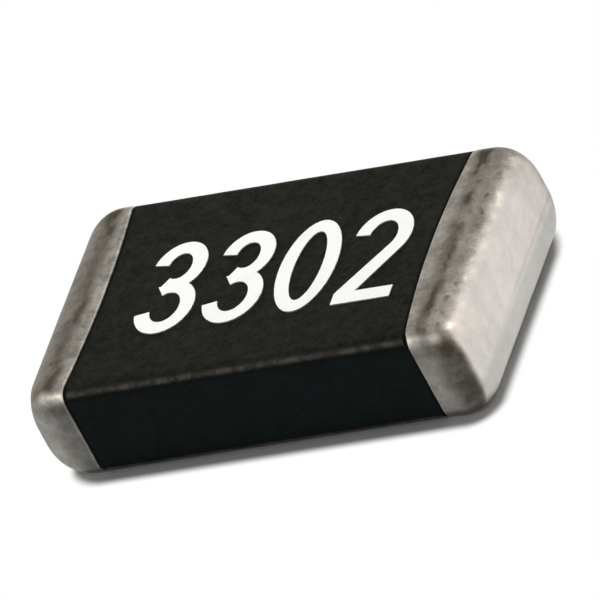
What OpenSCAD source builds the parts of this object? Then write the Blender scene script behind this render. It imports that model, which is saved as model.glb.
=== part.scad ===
// Thick film chip resistor for surface mounting: a ceramic bar with a trimmed film on top,
// a black coat round its long sides and a dipped, plated terminal on each end.
// X runs along the chip, Y across it and Z up, from the chip's centre, the point that it is placed by.

/* [Chip] */
// Overall length over both terminals
chip_length = 1.6; // [1.4:0.01:1.8]
// Overall width over the terminals
chip_width = 0.95; // [0.85:0.01:1.15]
// Overall thickness over the terminals
chip_thickness = 0.37; // [0.3:0.01:0.55]

/* [Black coat] */
// Thickness of the coat on the long sides of the substrate
coat_thickness = 0.04; // [0.034:0.001:0.046]
// Radius of the four long edges of the coat
coat_edge_radius = 0.04; // [0.02:0.005:0.08]

/* [Terminals] */
// Reach of the left terminal along the middle of the top
left_band = 0.183; // [0.12:0.001:0.25]
// Reach of the right terminal along the middle of the top
right_band = 0.217; // [0.12:0.001:0.25]
// How far the left rim bows towards the middle of the chip
left_rim_bow = 0.025; // [0.01:0.001:0.05]
// How far the right rim bows towards the middle of the chip
right_rim_bow = 0.037; // [0.01:0.001:0.05]
// Silver paste of the end electrode on the long sides
paste_side = 0.02; // [0.012:0.001:0.03]
// Silver paste of the end electrode on the end face
paste_end = 0.034; // [0.02:0.001:0.05]
// Least silver paste over the corners of the substrate
paste_corner = 0.003; // [0.001:0.001:0.008]
// Nickel barrier over the silver paste
nickel_thickness = 0.01; // [0.005:0.001:0.015]
// Tin plating over the nickel barrier
tin_thickness = 0.016; // [0.008:0.001:0.024]
// Radius of the long edges of a finished terminal
terminal_edge_radius = 0.055; // [0.04:0.005:0.09]
// Length over which a finished terminal rounds over into its end face
terminal_end_reach = 0.12; // [0.08:0.001:0.15]
// How far the long sides of a finished terminal draw in as they round over
terminal_side_draw = 0.038; // [0.03:0.001:0.06]
// How far the top and the underside of a finished terminal draw in as they round over
terminal_top_draw = 0.06; // [0.03:0.001:0.07]
// Radius of the corners of a finished terminal's end face
terminal_end_radius = 0.12; // [0.06:0.005:0.125]

/* [Inner electrodes] */
// Thickness of the printed inner electrodes
electrode_thickness = 0.006; // [0.004:0.001:0.01]
// Width of the printed inner electrodes
electrode_width = 0.74; // [0.7:0.01:0.8]
// How far a top electrode runs on under the coat, past the rim of the terminal
top_electrode_reach = 0.13; // [0.11:0.005:0.2]
// How far a bottom electrode runs on under the coat, past the rim of the terminal
bottom_electrode_reach = 0.04; // [0.02:0.005:0.1]

/* [Resistive film] */
// Thickness of the film
film_thickness = 0.012; // [0.008:0.001:0.014]
// Width of the film
film_width = 0.62; // [0.5:0.01:0.66]
// How far the film laps onto each top electrode
film_lap = 0.07; // [0.04:0.005:0.09]
// Length of the slope where the film climbs onto an electrode
film_slope = 0.02; // [0.01:0.005:0.04]

/* [Glass coat] */
// Thickness of the glass over the film
glass_thickness = 0.01; // [0.006:0.001:0.012]
// How far the glass reaches past the film on every side
glass_margin = 0.03; // [0.01:0.005:0.035]

/* [Laser trim] */
// Width of the cut
trim_kerf = 0.03; // [0.02:0.005:0.05]
// Place of the plunge cut along the chip
trim_place = -0.12; // [-0.2:0.01:0]
// Depth of the plunge cut into the width of the film
trim_plunge = 0.26; // [0.1:0.01:0.4]
// Length of the leg that turns along the chip
trim_run = 0.22; // [0.05:0.01:0.35]
// Start of the cut outside the film
trim_lead = 0.012; // [0.005:0.001:0.02]

/* [Hidden] */

// Sides of the chip, as signs along X
left = -1;
right = 1;

// Smoothness of round shapes
$fn = 128;
rounding_sides = 32;
rounding_steps = 7;

// How far a cut runs past the faces it opens, and how far room for a layer sinks into what carries the layer
cut_margin = 0.05;
cut_sink = electrode_thickness / 2;

// Walls of a finished terminal and the bar that they leave room for
plating = nickel_thickness + tin_thickness;
wall_side = paste_side + plating;
wall_end = paste_end + plating;
substrate_length = chip_length - 2 * wall_end;
substrate_width = chip_width - 2 * wall_side;
substrate_thickness = chip_thickness - 2 * wall_side;
substrate_top = substrate_thickness / 2;

// Corner radius that the drawn-in end face has room for
end_face_radius = min(terminal_end_radius, chip_thickness / 2 - terminal_top_draw);

// Ends of the printed layers, measured from the middle of the chip on both sides alike
rim_reach = chip_length / 2 - max(left_band, right_band);
top_electrode_end = rim_reach - top_electrode_reach;
bottom_electrode_end = rim_reach - bottom_electrode_reach;
film_end = top_electrode_end + film_lap;
glass_end = film_end + glass_margin;
glass_width = film_width + 2 * glass_margin;
glass_top = film_thickness + glass_thickness;

function band(side) = side < 0 ? left_band : right_band;
function rim_bow(side) = side < 0 ? left_rim_bow : right_rim_bow;

// Radius of the arc that bows by the given amount across the width of the chip
function arc_radius(bow) = (pow(chip_width / 2, 2) + pow(bow, 2)) / (2 * bow);

// Half of a printed layer's section, from its outer end to the foot of its slope
function layer_half(end, top, sink) = [
    [end, electrode_thickness - sink],
    [end, electrode_thickness + top],
    [top_electrode_end, electrode_thickness + top],
    [top_electrode_end - film_slope, top]
];

function mirrored(points) = [for (i = [len(points) - 1:-1:0]) [-points[i][0], points[i][1]]];

// Rectangle with true round corners
module rounded_rectangle(width, height, radius) {
    square([width - 2 * radius, height], center = true);
    square([width, height - 2 * radius], center = true);
    for (y = [-1, 1], z = [-1, 1])
        translate([y * (width / 2 - radius), z * (height / 2 - radius)])
            circle(radius);
}

// The four corner discs of a dipped end's cross-section, part of the way round into the end face
// (turn = 0 where the rounding starts, 90 at the end face). Cones towards the middle carry the discs.
module corner_discs(side, turn, inset) {
    draw = 1 - cos(turn);
    radius = terminal_edge_radius - inset + (end_face_radius - terminal_edge_radius) * draw;
    x = chip_length / 2 - inset - (terminal_end_reach - inset) * (1 - sin(turn));
    y = chip_width / 2 - inset - (terminal_side_draw - inset) * draw - radius;
    z = chip_thickness / 2 - inset - (terminal_top_draw - inset) * draw - radius;
    for (v = [-1, 1], w = [-1, 1])
        translate([side * x, v * y, w * z])
            rotate([0, -90 * side, 0])
                cylinder(h = radius, r1 = radius, r2 = 0, $fn = rounding_sides);
}

// Surface of the dipped ends, at a depth below the finished terminals.
// It keeps the least paste over the corners of the substrate.
module dipped_block(inset) {
    cover = paste_corner + plating - inset;
    hull()
        for (side = [left, right]) {
            for (step = [0:rounding_steps])
                corner_discs(side, 90 * step / rounding_steps, inset);
            for (v = [-1, 1], w = [-1, 1])
                translate([side * substrate_length, v * substrate_width, w * substrate_thickness] / 2)
                    sphere(cover, $fn = rounding_sides);
        }
}

// Everything beyond a terminal's bowed rim, on one side of the chip
module rim_zone(side) {
    radius = arc_radius(rim_bow(side));
    translate([side * (chip_length / 2 - band(side) + radius), 0, 0])
        cylinder(r = radius, h = chip_thickness + 2 * cut_margin, center = true);
}

module substrate_bar() {
    cube([substrate_length, substrate_width, substrate_thickness], center = true);
}

// Printed electrode from the end of the substrate inwards, on its top (up = 1) or underside (up = -1)
module electrode_pad(side, inner_end, up) {
    pad_length = substrate_length / 2 - inner_end;
    translate([side * (inner_end + pad_length / 2), 0, up * (substrate_top + electrode_thickness / 2)])
        cube([pad_length, electrode_width, electrode_thickness], center = true);
}

module top_pad(side) {
    electrode_pad(side, top_electrode_end, 1);
}

module bottom_pad(side) {
    electrode_pad(side, bottom_electrode_end, -1);
}

// Printed layer that lies on the substrate and steps up onto both top electrodes.
// Room for it in the layer above is cut with an underside that sinks into what carries it.
module printed_layer(width, end, top, sink = 0) {
    half = layer_half(end, top, sink);
    foot = [[top_electrode_end, -sink], [top_electrode_end, electrode_thickness - sink]];
    section = concat(half, mirrored(half), mirrored(foot), foot);
    translate([0, width / 2, substrate_top])
        rotate([90, 0, 0])
            linear_extrude(width)
                polygon(section);
}

// L-shaped path of the laser: in from one side of the film, then along the chip
module trim_path() {
    start = -film_width / 2 - trim_lead;
    turn = -film_width / 2 + trim_plunge;
    translate([trim_place, 0, substrate_top - cut_margin])
        linear_extrude(electrode_thickness + glass_top + 2 * cut_margin) {
            translate([-trim_kerf / 2, start])
                square([trim_kerf, turn - start]);
            translate([0, turn - trim_kerf / 2])
                square([trim_run, trim_kerf]);
            for (spot = [[0, start], [0, turn], [trim_run, turn]])
                translate(spot)
                    circle(d = trim_kerf);
        }
}

// One layer of a terminal, between two depths below the finished surface
module plated_shell(side, outer_inset, inner_inset) {
    intersection() {
        difference() {
            dipped_block(outer_inset);
            dipped_block(inner_inset);
        }
        rim_zone(side);
    }
}

module ceramic_substrate() {
    color("whitesmoke")
        substrate_bar();
}

module top_electrode(side) {
    color("gainsboro")
        top_pad(side);
}

module bottom_electrode(side) {
    color("gainsboro")
        bottom_pad(side);
}

module resistive_film() {
    color("#3a3534")
        difference() {
            printed_layer(film_width, film_end, film_thickness);
            trim_path();
        }
}

module glass_coat() {
    color("#4f7a5c")
        difference() {
            printed_layer(glass_width, glass_end, glass_top);
            printed_layer(film_width, film_end, film_thickness, cut_sink);
            trim_path();
        }
}

module black_coat() {
    color("#26271f")
        difference() {
            rotate([90, 0, 90])
                linear_extrude(chip_length, center = true)
                    rounded_rectangle(
                        substrate_width + 2 * coat_thickness,
                        substrate_thickness + 2 * coat_thickness,
                        coat_edge_radius
                    );
            substrate_bar();
            difference() {
                printed_layer(glass_width, glass_end, glass_top, cut_sink);
                trim_path();
            }
            for (side = [left, right]) {
                top_pad(side);
                bottom_pad(side);
                rim_zone(side);
            }
        }
}

module end_electrode(side) {
    color("#b9b4ae")
        difference() {
            intersection() {
                dipped_block(plating);
                rim_zone(side);
            }
            substrate_bar();
            top_pad(side);
            bottom_pad(side);
        }
}

module nickel_barrier(side) {
    color("#9a968c")
        plated_shell(side, tin_thickness, plating);
}

module tin_cap(side) {
    color("#c9c4be")
        plated_shell(side, 0, tin_thickness);
}

ceramic_substrate();
resistive_film();
glass_coat();
black_coat();
top_electrode(left);  // left_top_electrode
top_electrode(right);  // right_top_electrode
bottom_electrode(left);  // left_bottom_electrode
bottom_electrode(right);  // right_bottom_electrode
end_electrode(left);  // left_end_electrode
end_electrode(right);  // right_end_electrode
nickel_barrier(left);  // left_nickel_barrier
nickel_barrier(right);  // right_nickel_barrier
tin_cap(left);  // left_tin_cap
tin_cap(right);  // right_tin_cap
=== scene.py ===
"""Dresses a thick film chip resistor: plated terminals, black coat, white marking and a plain studio."""

import logging
import math
from abc import ABC, abstractmethod
from collections.abc import Iterable, Mapping
from dataclasses import dataclass, field, replace
from enum import Enum
from typing import Any, Union

import bmesh
import bpy
from mathutils import Matrix, Quaternion, Vector, noise


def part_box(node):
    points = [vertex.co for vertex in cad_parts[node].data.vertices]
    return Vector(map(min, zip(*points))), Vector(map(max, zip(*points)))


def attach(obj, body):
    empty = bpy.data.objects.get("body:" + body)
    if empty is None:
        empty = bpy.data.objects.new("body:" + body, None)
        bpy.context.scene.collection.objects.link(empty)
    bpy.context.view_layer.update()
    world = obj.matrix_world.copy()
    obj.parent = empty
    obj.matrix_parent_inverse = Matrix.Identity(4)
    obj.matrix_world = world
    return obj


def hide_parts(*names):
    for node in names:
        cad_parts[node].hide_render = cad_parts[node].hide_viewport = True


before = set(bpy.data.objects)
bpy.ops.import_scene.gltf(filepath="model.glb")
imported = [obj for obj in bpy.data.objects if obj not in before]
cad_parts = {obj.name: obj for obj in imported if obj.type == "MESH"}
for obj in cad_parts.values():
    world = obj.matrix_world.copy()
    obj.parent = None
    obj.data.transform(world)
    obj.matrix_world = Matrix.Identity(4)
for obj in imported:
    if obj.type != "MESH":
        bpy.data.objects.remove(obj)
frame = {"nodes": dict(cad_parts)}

log = logging.getLogger("chip_resistor")

MILLIMETRE = 0.001
PER_METRE = 1000.0
BODY = "root"
NOISE_MEAN = 0.5
FULL_TURN = 360.0

Pair = tuple[float, float]
Triple = tuple[float, float, float]
Colour = Triple
# Where a soft step starts and ends, or where a soft peak stands and how far it spreads.
Span = Pair
# A base strength, and what dabs and flecks add to it.
Weights = Triple
Number = Union[float, "Value"]


class Side(Enum):
    """The two ends of the chip, as signs along X."""

    LEFT = -1
    RIGHT = 1

    @property
    def word(self) -> str:
        """The side's name as the frame's nodes spell it."""
        return self.name.lower()


class Axis(Enum):
    """The chip's axes, as places in a vector."""

    ALONG = 0
    ACROSS = 1
    UP = 2


@dataclass(frozen=True)
class ChipSizes:
    """Main sizes of the chip in millimetres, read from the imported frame."""

    length: float
    width: float
    thickness: float
    coat_width: float
    coat_thickness: float
    core_width: float
    core_bottom: float
    core_top: float
    rim: dict[Side, float]
    bow: dict[Side, float]

    @classmethod
    def from_frame(cls) -> "ChipSizes":
        """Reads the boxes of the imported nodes.

        Returns:
            The sizes that every visible piece is built from.
        """
        caps = {side: cls._box(f"{side.word}_tin_cap") for side in Side}
        coat_low, coat_high = cls._box("black_coat")
        core_low, core_high = cls._box("ceramic_substrate")
        pad_low, _ = cls._box("left_bottom_electrode")
        _, stack_high = cls._box("glass_coat")
        left_low, left_high = caps[Side.LEFT]
        right_low, right_high = caps[Side.RIGHT]
        rim = {Side.LEFT: -left_high.x, Side.RIGHT: right_low.x}
        share = (coat_high.y / right_high.y) ** 2
        return cls(
            length=right_high.x - left_low.x,
            width=right_high.y - right_low.y,
            thickness=right_high.z - right_low.z,
            coat_width=coat_high.y - coat_low.y,
            coat_thickness=coat_high.z - coat_low.z,
            core_width=core_high.y - core_low.y,
            core_bottom=pad_low.z,
            core_top=stack_high.z,
            rim=rim,
            bow={
                Side.LEFT: (-coat_low.x - rim[Side.LEFT]) / share,
                Side.RIGHT: (coat_high.x - rim[Side.RIGHT]) / share,
            },
        )

    @staticmethod
    def _box(node: str) -> tuple[Vector, Vector]:
        """Lowest and highest corner of a node in millimetres."""
        low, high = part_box(node)
        return low * PER_METRE, high * PER_METRE

    def rim_place(self, side: Side, across: float) -> float:
        """Distance of a terminal's rim from the middle of the chip.

        Args:
            side: The end of the chip.
            across: Place across the chip, in millimetres.

        Returns:
            The rim's distance along the chip, in millimetres.
        """
        return self.rim[side] + self.bow[side] * (2 * across / self.width) ** 2


class Value:
    """A shader socket that Python's arithmetic works on by adding Math nodes."""

    def __init__(self, tree: "ShaderTree", socket: bpy.types.NodeSocket) -> None:
        """Wraps one output socket of a tree."""
        self.tree = tree
        self.socket = socket

    def _math(self, operation: str, left: Number, right: Number = 0.0) -> "Value":
        """Adds one Math node and returns its result."""
        return self.tree.node("ShaderNodeMath", {"operation": operation}, {0: left, 1: right})

    def __add__(self, other: Number) -> "Value":
        """Sum of two values."""
        return self._math("ADD", self, other)

    def __radd__(self, other: float) -> "Value":
        """Sum with a number on the left."""
        return self._math("ADD", other, self)

    def __sub__(self, other: Number) -> "Value":
        """Difference of two values."""
        return self._math("SUBTRACT", self, other)

    def __rsub__(self, other: float) -> "Value":
        """Difference from a number on the left."""
        return self._math("SUBTRACT", other, self)

    def __mul__(self, other: Number) -> "Value":
        """Product of two values."""
        return self._math("MULTIPLY", self, other)

    def __rmul__(self, other: float) -> "Value":
        """Product with a number on the left."""
        return self._math("MULTIPLY", other, self)

    def __truediv__(self, other: Number) -> "Value":
        """Quotient of two values."""
        return self._math("DIVIDE", self, other)

    def __pow__(self, other: Number) -> "Value":
        """Power of a value."""
        return self._math("POWER", self, other)

    def __abs__(self) -> "Value":
        """Distance from nought."""
        return self._math("ABSOLUTE", self)

    def most(self, other: Number) -> "Value":
        """The greater of two values."""
        return self._math("MAXIMUM", self, other)

    def least(self, other: Number) -> "Value":
        """The lesser of two values."""
        return self._math("MINIMUM", self, other)

    def rising(self, low: float, high: float) -> "Value":
        """A soft step from 0 at low to 1 at high.

        Args:
            low: Where the step starts.
            high: Where it ends.

        Returns:
            The step as a value from 0 to 1.
        """
        return self.tree.node(
            "ShaderNodeMapRange",
            {"interpolation_type": "SMOOTHSTEP"},
            {"Value": self, "From Min": low, "From Max": high},
        )

    def falling(self, low: float, high: float) -> "Value":
        """A soft step from 1 at low to 0 at high."""
        return 1 - self.rising(low, high)

    def near(self, place: float, reach: float) -> "Value":
        """A soft peak of 1 at a place that is gone at a reach from it.

        Args:
            place: Where the peak stands.
            reach: How far it spreads to each side.

        Returns:
            The peak as a value from 0 to 1.
        """
        return abs(self - place).falling(0.0, reach)


class ShaderTree:
    """The node tree of one material or world, built node by node."""

    def __init__(self, tree: bpy.types.NodeTree) -> None:
        """Starts from an emptied tree."""
        self.tree = tree
        self.tree.nodes.clear()

    @classmethod
    def of_material(cls, name: str) -> tuple["ShaderTree", bpy.types.Material]:
        """Makes a new material.

        Args:
            name: The material's name.

        Returns:
            Its tree and the material itself.
        """
        material = bpy.data.materials.new(name)
        material.use_nodes = True
        return cls(material.node_tree), material

    def node(
        self,
        kind: str,
        settings: Mapping[str, Any] | None = None,
        inputs: Mapping[int | str, Any] | None = None,
        output: int | str = 0,
    ) -> Value:
        """Adds a node of any kind.

        Args:
            kind: The node's type.
            settings: Properties that are set first.
            inputs: Values or links of its sockets, by place, name or identifier.
            output: The output socket to return.

        Returns:
            That output.
        """
        made = self.tree.nodes.new(kind)
        for name, value in (settings or {}).items():
            setattr(made, name, value)
        for key, value in (inputs or {}).items():
            socket = self._find(made.inputs, key)
            if isinstance(value, Value):
                self.tree.links.new(value.socket, socket)
            elif socket.type == "RGBA":
                socket.default_value = (*value, 1.0)
            else:
                socket.default_value = value
        return Value(self, self._find(made.outputs, output))

    @staticmethod
    def _find(sockets: Iterable[bpy.types.NodeSocket], key: int | str) -> bpy.types.NodeSocket:
        """Finds a socket.

        Args:
            sockets: The sockets to look through.
            key: Its place, identifier or name.

        Returns:
            The socket.
        """
        listed = list(sockets)
        if isinstance(key, int):
            return listed[key]
        return next(s for s in listed if key in (s.identifier, s.name) and s.enabled)

    def place(self) -> Value:
        """Object coordinates in millimetres, as a vector."""
        inside = self.node("ShaderNodeTexCoord", output="Object")
        return self.stretch(inside, (PER_METRE, PER_METRE, PER_METRE))

    def stretch(self, vector: Value, factors: Triple) -> Value:
        """A vector times a factor on each axis."""
        return self.node("ShaderNodeVectorMath", {"operation": "MULTIPLY"}, {0: vector, 1: factors})

    def axes(self, vector: Value) -> tuple[Value, Value, Value]:
        """Takes a vector apart.

        Args:
            vector: The vector.

        Returns:
            Its parts along, across and up.
        """
        split = self.node("ShaderNodeSeparateXYZ", inputs={0: vector})
        outputs = split.socket.node.outputs
        return Value(self, outputs[0]), Value(self, outputs[1]), Value(self, outputs[2])

    def grain(self, vector: Value, scale: float, detail: float = 3.0, roughness: float = 0.55) -> Value:
        """Noise from 0 to 1.

        Args:
            vector: Where it is read.
            scale: How many spots fit in a millimetre.
            detail: How many finer layers it has.
            roughness: How strong those are.

        Returns:
            The noise, about 0.5 on average.
        """
        inputs = {"Vector": vector, "Scale": scale, "Detail": detail, "Roughness": roughness}
        return self.node("ShaderNodeTexNoise", inputs=inputs)

    def mix(self, factor: Number, first: Any, second: Any) -> Value:
        """A colour between two colours.

        Args:
            factor: 0 for the first, 1 for the second.
            first: A colour or a link.
            second: A colour or a link.

        Returns:
            The mixed colour.
        """
        inputs = {"Factor_Float": factor, "A_Color": first, "B_Color": second}
        return self.node("ShaderNodeMix", {"data_type": "RGBA"}, inputs, "Result_Color")

    def shade(self, colour: Value, strength: Value) -> Value:
        """A colour made lighter or darker by a factor."""
        return self.node("ShaderNodeVectorMath", {"operation": "SCALE"}, {0: colour, "Scale": strength})

    def bump(self, height: Value, depth: float) -> Value:
        """A bumpy normal.

        Args:
            height: Height from 0 to 1.
            depth: What a height of 1 stands for, in millimetres.

        Returns:
            The normal.
        """
        return self.node("ShaderNodeBump", inputs={"Height": height, "Distance": depth * MILLIMETRE})

    def node_output(self, kind: str, surface: Value) -> None:
        """Links a surface to the tree's output."""
        made = self.tree.nodes.new(kind)
        self.tree.links.new(surface.socket, made.inputs["Surface"])


class Finish(ABC):
    """What dresses a piece or a node."""

    def material(self, name: str) -> bpy.types.Material:
        """Makes the finish as a material.

        Args:
            name: The material's name.

        Returns:
            The material.
        """
        tree, material = ShaderTree.of_material(name)
        shader = tree.node("ShaderNodeBsdfPrincipled", inputs=self.shader_inputs(tree))
        tree.node_output("ShaderNodeOutputMaterial", shader)
        return material

    @abstractmethod
    def shader_inputs(self, tree: ShaderTree) -> Mapping[str, Any]:
        """Paints the finish.

        Args:
            tree: The material's tree.

        Returns:
            What goes into the sockets of a Principled shader.
        """


class CapSurface:
    """What a terminal's plating is painted by: where a point lies, in millimetres, and its noise."""

    BLOTCHES: Span = (0.34, 0.66)
    FLECKS: Span = (0.36, 0.64)
    DABS: Span = (0.36, 0.62)
    BACK: Span = (0.04, 0.24)

    def __init__(self, tree: ShaderTree, sizes: ChipSizes, side: Side) -> None:
        """Reads the point's place, its distance from each face and the noise there.

        Args:
            tree: The material's tree.
            sizes: The chip's sizes.
            side: The end of the chip.
        """
        place = tree.place()
        along, self.across, self.up = tree.axes(place)
        self.reach = abs(along)
        bow = sizes.bow[side] * (self.across * (2 / sizes.width)) ** 2.0
        self.from_rim = self.reach - sizes.rim[side] - bow
        self.from_end = sizes.length / 2 - self.reach
        self.from_side = sizes.width / 2 - abs(self.across)
        self.from_back = sizes.width / 2 - self.across
        self.from_top = sizes.thickness / 2 - self.up
        self.from_bottom = sizes.thickness / 2 + self.up
        self.cloud = tree.grain(place, scale=8.0, detail=3.0)
        self.mottle = tree.grain(place, scale=30.0, detail=5.0, roughness=0.68)
        self.speck = tree.grain(place, scale=110.0, detail=2.0)
        self.glitter = tree.grain(place, scale=24.0, detail=0.0)
        self.drift = tree.grain(tree.stretch(place, (1.0, 1.0, 0.3)), scale=12.0, detail=2.0)
        spot = tree.grain(tree.stretch(place, (1.0, 0.6, 1.0)), scale=19.0, detail=2.0)
        self.blotch = self.cloud.rising(*self.BLOTCHES)
        self.fleck = self.mottle.rising(*self.FLECKS)
        self.dab = spot.rising(*self.DABS)
        self.back = self.from_back.falling(*self.BACK)

    def dabbed(self, base: float, dab: float, fleck: float) -> Value:
        """An uneven strength: a base, and what dabs and flecks add to it."""
        return base + dab * self.dab + fleck * self.fleck


@dataclass(frozen=True)
class PaleEnd:
    """Where the end face is pale: past a start along the chip, and in a soft patch in its middle."""

    start: float
    blend: float = 0.045
    flank_lag: float = 0.030
    back_lag: float = 0.022
    ragged: float = 0.06
    patch_from_edge: Span = (0.045, 0.16)
    patch_from_side: Span = (0.05, 0.20)
    patch_from_end: Span = (0.005, 0.03)
    patch_strength: float = 0.6

    def mask(self, cap: CapSurface, flank: Value) -> Value:
        """How pale each point is.

        Args:
            cap: The cap's surface.
            flank: 1 on the flanks, 0 off them.

        Returns:
            A value from 0 to 1.
        """
        lag = self.flank_lag * flank + self.back_lag * cap.back
        past = (cap.reach - lag).rising(self.start, self.start + self.blend)
        drawn = (cap.mottle - NOISE_MEAN) * self.ragged
        patch = (cap.from_top.least(cap.from_bottom) - drawn).rising(*self.patch_from_edge)
        patch = patch * (cap.from_side - drawn).rising(*self.patch_from_side)
        patch = patch * cap.from_end.falling(*self.patch_from_end)
        return past.most(patch * self.patch_strength)


@dataclass(frozen=True)
class StainRing:
    """A brown ring round a cap: a streak, a thin wash past it and specks where the wash ends."""

    start: float
    end: float
    waver: float = 0.06
    haze_ramp: Span = (-0.04, 0.03)
    wash_ramp: Span = (-0.03, 0.02)
    wash_base: float = 0.08
    wash_dabs: float = 0.35
    streak_peak: Span = (0.008, 0.048)
    streak_dabs: Weights = (0.34, 0.5, 0.25)
    speck_peak: Span = (-0.022, 0.024)
    speck_gaps: Span = (0.34, 0.48)
    speck_dabs: Weights = (0.3, 0.0, 0.5)

    def place(self, cap: CapSurface) -> Value:
        """Distance from the chip's middle, wavering a little."""
        return cap.reach + (cap.cloud - NOISE_MEAN) * self.waver

    def beyond(self, cap: CapSurface) -> Value:
        """1 past the ring's start, 0 before it."""
        low, high = self.haze_ramp
        return self.place(cap).rising(self.start + low, self.start + high)

    def streak(self, cap: CapSurface) -> Value:
        """1 in the middle of the streak, 0 off it."""
        place, spread = self.streak_peak
        return self.place(cap).near(self.start + place, spread)

    def mask(self, cap: CapSurface) -> Value:
        """How stained each point is.

        Args:
            cap: The cap's surface.

        Returns:
            A value from 0 to 1.
        """
        place = self.place(cap)
        streak = self.streak(cap) * cap.dabbed(*self.streak_dabs)
        low, high = self.wash_ramp
        wash = self.beyond(cap) * place.falling(self.end + low, self.end + high)
        wash = wash * (self.wash_base + self.wash_dabs * cap.dab * cap.fleck)
        row, spread = self.speck_peak
        specks = place.near(self.end + row, spread) * cap.glitter.falling(*self.speck_gaps)
        return streak.most(wash).most(specks * cap.dabbed(*self.speck_dabs))


@dataclass(frozen=True)
class FlankDirt:
    """What darkens a flank: a sooty smear, dabs all over and a brown line under the top edge."""

    smear: float
    smear_along: Span = (-0.005, 0.08)
    smear_up: Span = (-0.21, -0.11)
    smear_dabs: Weights = (0.6, 0.25, 0.15)
    dabs: float = 0.35
    line_peak: Span = (0.07, 0.04)
    line_dabs: Weights = (0.2, 0.5, 0.0)

    def soot(self, cap: CapSurface, ring: StainRing) -> Value:
        """How sooty each point is.

        Args:
            cap: The cap's surface.
            ring: The ring that the smear starts at.

        Returns:
            A value from 0 to 1.
        """
        low, high = self.smear_along
        smear = ring.place(cap).rising(ring.start + low, ring.start + high) * cap.up.rising(*self.smear_up)
        return (smear * self.smear * cap.dabbed(*self.smear_dabs)).most(cap.blotch * cap.dab * self.dabs)

    def line(self, cap: CapSurface) -> Value:
        """The brown line under the top edge."""
        return cap.from_top.near(*self.line_peak) * cap.dabbed(*self.line_dabs)


@dataclass(frozen=True)
class BurnishAndPaintedHighlights:
    """Painted highlights, partly burnished wear: glints along the end's shoulder, a glint at the front corner
    and rubbed long edges.
    """

    glint: float
    edge_stain: float
    edge_place: float
    upper_part: Span = (0.06, 0.12)
    shoulder_from_end: Span = (0.032, 0.024)
    shoulder_from_side: Span = (0.03, 0.07)
    shoulder_base: float = 0.03
    sparks: Span = (0.60, 0.76)
    spark_strength: float = 0.6
    corner_from_end: Span = (0.026, 0.040)
    corner_from_side: Span = (0.070, 0.062)
    corner_dabs: Weights = (0.5, 0.0, 0.5)
    corner_back_loss: float = 0.85
    ridge_peak: Span = (0.022, 0.032)
    lower_ridge: float = 0.2
    edge_spread: float = 0.032
    edge_from_end: Span = (0.048, 0.085)
    edge_base: float = 0.55
    edge_blotch: float = 0.35

    def mask(self, cap: CapSurface, streak: Value) -> Value:
        """How strongly each point takes the painted highlight and burnish.

        Args:
            cap: The cap's surface.
            streak: 1 in the stain's streak, which dulls the edges.

        Returns:
            A value from 0 to 1.
        """
        upper = cap.from_top.falling(*self.upper_part) * self.glint
        sparks = self.shoulder_base + self.spark_strength * cap.glitter.rising(*self.sparks)
        shoulder = cap.from_end.near(*self.shoulder_from_end) * upper * sparks
        shoulder = shoulder * cap.from_side.rising(*self.shoulder_from_side)
        # Painted highlight on the front corner, which the back corner mostly loses.
        corner = cap.from_end.near(*self.corner_from_end) * cap.from_side.near(*self.corner_from_side)
        corner = corner * upper * cap.dabbed(*self.corner_dabs) * (1 - self.corner_back_loss * cap.back)
        # Painted highlight and rubbed wear along the long edges, weaker on the lower ones.
        lower = self.lower_ridge * cap.from_bottom.near(*self.ridge_peak)
        ridge = cap.from_top.near(*self.ridge_peak) + lower
        edge = cap.from_side.near(self.edge_place, self.edge_spread) * ridge
        edge = edge * cap.from_end.rising(*self.edge_from_end)
        edge = edge * (1 - self.edge_stain * streak) * (self.edge_base + self.edge_blotch * cap.blotch)
        return shoulder.most(corner).most(edge)


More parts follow.
